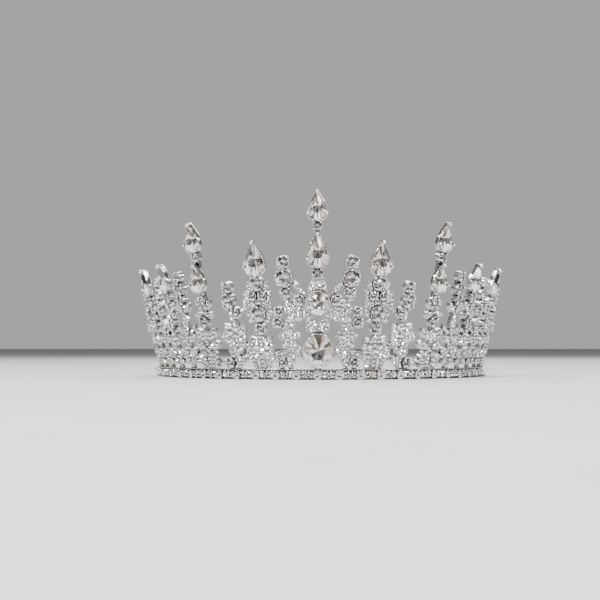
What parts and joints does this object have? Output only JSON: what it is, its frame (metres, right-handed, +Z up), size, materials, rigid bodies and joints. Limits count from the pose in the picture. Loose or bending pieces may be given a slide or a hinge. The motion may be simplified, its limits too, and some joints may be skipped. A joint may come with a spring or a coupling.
{
  "type": "bridal tiara",
  "caption": "Open-backed bridal tiara: a bent band with set stones under a flared wall of cast leaves, round and pear crystals.",
  "frame": {"origin": "under the middle of the bounding box, on the plane that the band's bottom edge stands on", "axes": "+Z up; -Y to the wearer's front, where the centre spire is; +X to the right seen from the front"},
  "size_m": [0.1412, 0.0924, 0.0665],
  "materials": {
    "band_metal": "bright rhodium plate on a rolled strip",
    "cast_metal": "bright rhodium plate on cast metal",
    "setting_metal": "polished rhodium plate",
    "large_crystal": "clear cut crystal",
    "round_crystal": "clear brilliant-cut crystal",
    "small_crystal": "foiled pave crystal"
  },
  "bodies": {
    "root": {"band_cups_large": "band_metal", "band_cups_small": "band_metal", "band_rail": "band_metal", "band_stones_large": "small_crystal", "band_stones_small": "small_crystal", "base_band": "band_metal", "centre_lower_pear_setting": "setting_metal", "centre_lower_pear_stone": "large_crystal", "centre_oval_setting": "setting_metal", "centre_oval_stone": "large_crystal", "centre_panel": "cast_metal", "centre_round_setting": "setting_metal", "centre_round_stone": "large_crystal", "centre_spire": "cast_metal", "centre_upper_pear_setting": "setting_metal", "centre_upper_pear_stone": "large_crystal", "left_end_leaf_panel": "cast_metal", "left_end_loop": "band_metal", "left_end_twin_panel": "cast_metal", "left_front_pave_stones": "small_crystal", "left_front_pear_panel": "cast_metal", "left_front_round_stones": "round_crystal", "left_inner_twin_panel": "cast_metal", "left_outer_twin_panel": "cast_metal", "left_pear_settings": "setting_metal", "left_pear_stones": "large_crystal", "left_rear_pave_stones": "small_crystal", "left_rear_pear_panel": "cast_metal", "left_rear_round_stones": "round_crystal", "left_rear_twin_panel": "cast_metal", "left_side_pear_panel": "cast_metal", "left_side_twin_panel": "cast_metal", "left_tall_spire_panel": "cast_metal", "right_end_leaf_panel": "cast_metal", "right_end_loop": "band_metal", "right_end_twin_panel": "cast_metal", "right_front_pave_stones": "small_crystal", "right_front_pear_panel": "cast_metal", "right_front_round_stones": "round_crystal", "right_inner_twin_panel": "cast_metal", "right_outer_twin_panel": "cast_metal", "right_pear_settings": "setting_metal", "right_pear_stones": "large_crystal", "right_rear_pave_stones": "small_crystal", "right_rear_pear_panel": "cast_metal", "right_rear_round_stones": "round_crystal", "right_rear_twin_panel": "cast_metal", "right_side_pear_panel": "cast_metal", "right_side_twin_panel": "cast_metal", "right_tall_spire_panel": "cast_metal", "spire_round_stones": "round_crystal"}
  },
  "joints": []
}
